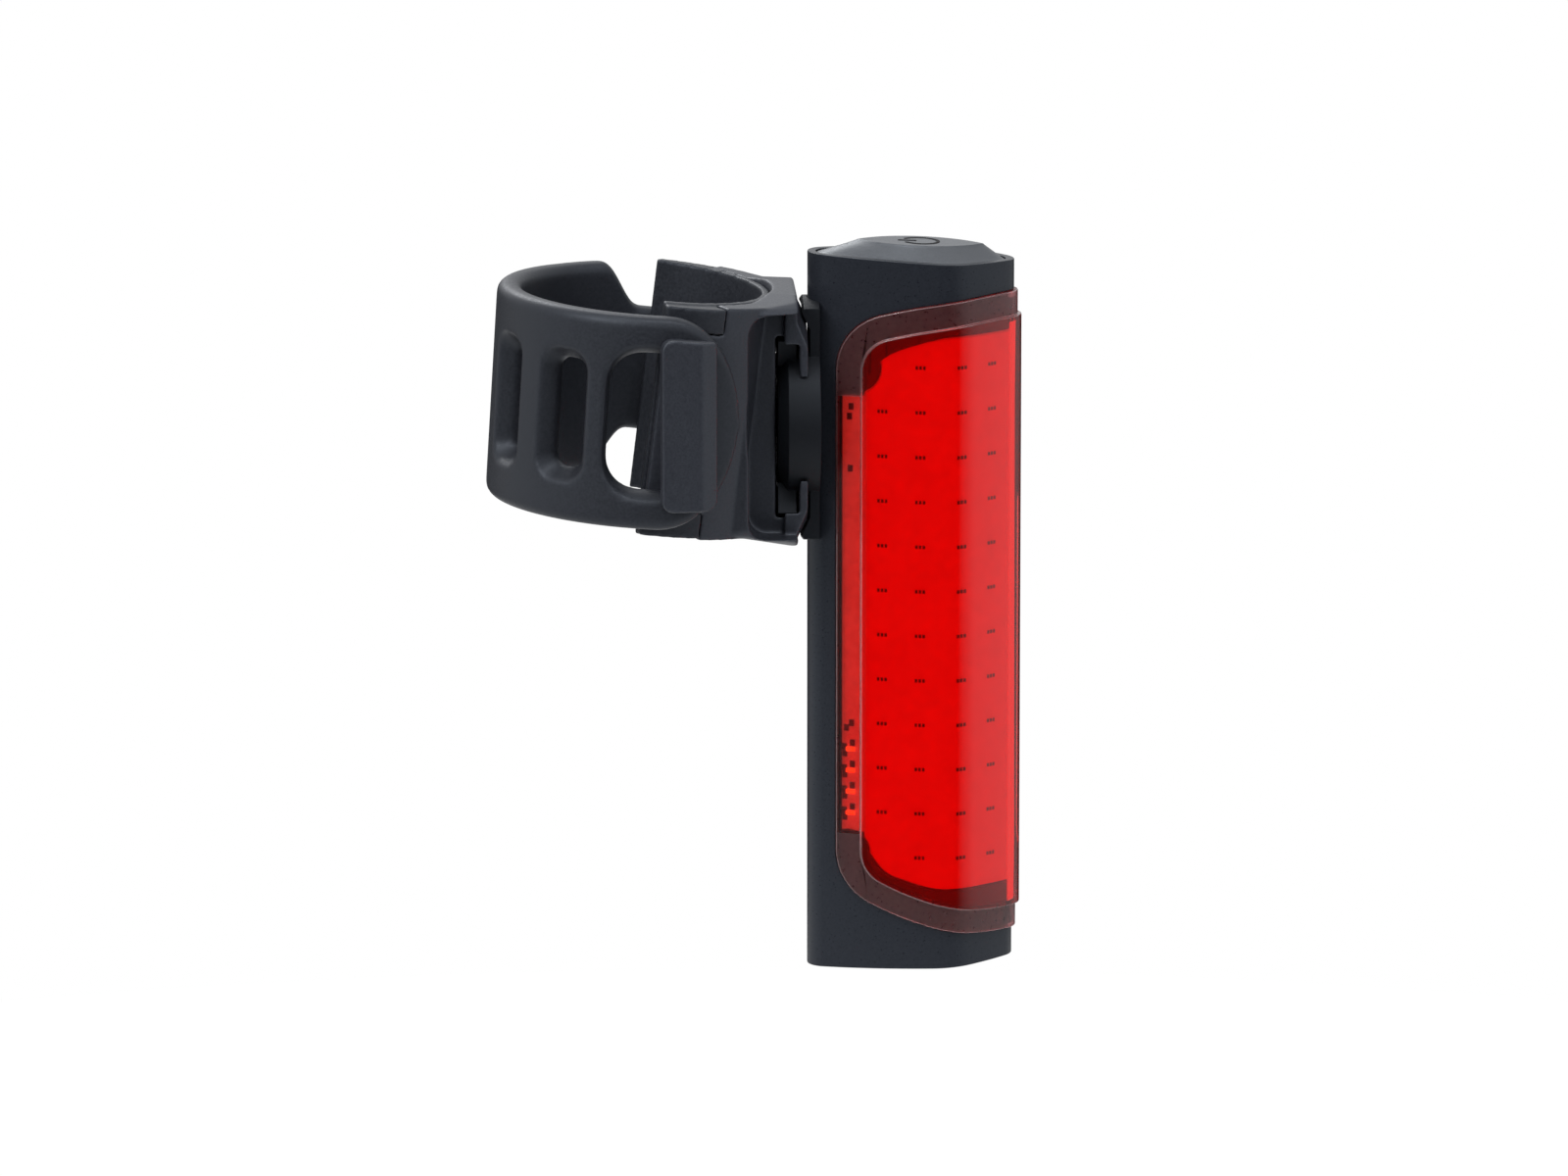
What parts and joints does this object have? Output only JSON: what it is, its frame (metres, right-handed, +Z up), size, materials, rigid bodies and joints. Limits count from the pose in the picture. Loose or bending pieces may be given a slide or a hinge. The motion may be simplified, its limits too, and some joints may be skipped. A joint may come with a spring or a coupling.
{
  "type": "bike rear light with seatpost strap bracket",
  "caption": "Slim upright red bicycle rear light, wrap-round lens and glowing strip, on a twist-lock bracket held to a seatpost by a rubber strap with a hook",
  "frame": {"origin": "On the axis of the seatpost that the saddle clamps, at the middle of the saddle's length", "axes": "+Z is up along the light's long side, +X points to the bicycle's rear, from the seatpost to the light, and +Y is the side away from the hook. The seatpost's axis leans 7 degrees from +Z towards +X"},
  "size_m": [0.0641, 0.0414, 0.0883],
  "materials": {
    "black_plastic": "fine moulded grain",
    "black_rubber": "soft matte",
    "red_lens": "clear red, polished",
    "red_coating": "smooth red silicone over the chips",
    "flex_board": "thin pale board",
    "chip_black": "moulded",
    "indicator_amber": "clear",
    "carrier_metal": "mill finish sheet",
    "battery_wrap": "shrunk film",
    "grey_foam": "closed cell foam",
    "lead_rubber": "smooth sleeve",
    "circuit_board": "green board mask",
    "white_plastic": "moulded",
    "steel": "plain"
  },
  "bodies": {
    "bracket": {"bracket": "black_plastic", "saddle_pad": "black_rubber", "strap_pin": "steel"},
    "strap": {"strap": "black_rubber"},
    "light": {"body_shell": "black_plastic", "lens": "red_lens", "lens_gasket": "black_rubber", "led_board": "flex_board", "led_coating": "red_coating", "led_chips": "chip_black", "indicator_leds": "indicator_amber", "led_carrier": "carrier_metal", "battery": "battery_wrap", "battery_pads": "grey_foam", "battery_leads": "lead_rubber", "switch_board": "circuit_board", "switch_board_chips": "chip_black", "tact_switch": "chip_black", "charge_board": "circuit_board", "charge_board_chips": "chip_black", "usb_socket": "steel", "board_screws": "steel", "mount_foot": "black_plastic", "foot_screws": "steel"},
    "button": {"power_button": "black_rubber"},
    "plunger": {"switch_plunger": "white_plastic"},
    "cover": {"port_cover": "black_rubber"}
  },
  "joints": [
    {"name": "light_turn", "type": "hinge", "parent": "bracket", "child": "light", "pos_m": [0.0206, 0, -0.003], "axis": [1, 0, 0], "range_deg": [0, 90]},
    {"name": "strap_swing", "type": "hinge", "parent": "bracket", "child": "strap", "pos_m": [0.00643, 0.01717, -0.00079], "axis": [-0.1219, 0, -0.9925], "range_deg": [0, 100], "deforming": ["strap"]},
    {"name": "button_press", "type": "slide", "parent": "light", "child": "button", "axis": [-0.0447, 0, -0.999], "range_m": [0, 0.0005], "stiffness_N_per_m": 2000, "springref_m": -0.0003},
    {"name": "plunger_press", "type": "slide", "parent": "light", "child": "plunger", "axis": [-0.0447, 0, -0.999], "range_m": [0, 0.0005]},
    {"name": "cover_flip", "type": "hinge", "parent": "light", "child": "cover", "pos_m": [0.02316, 0, -0.06883], "axis": [0, 1, 0], "range_deg": [0, 100]}
  ],
  "couplings": [
    {"joint": "plunger_press", "follows": "button_press", "ratio": 1}
  ]
}
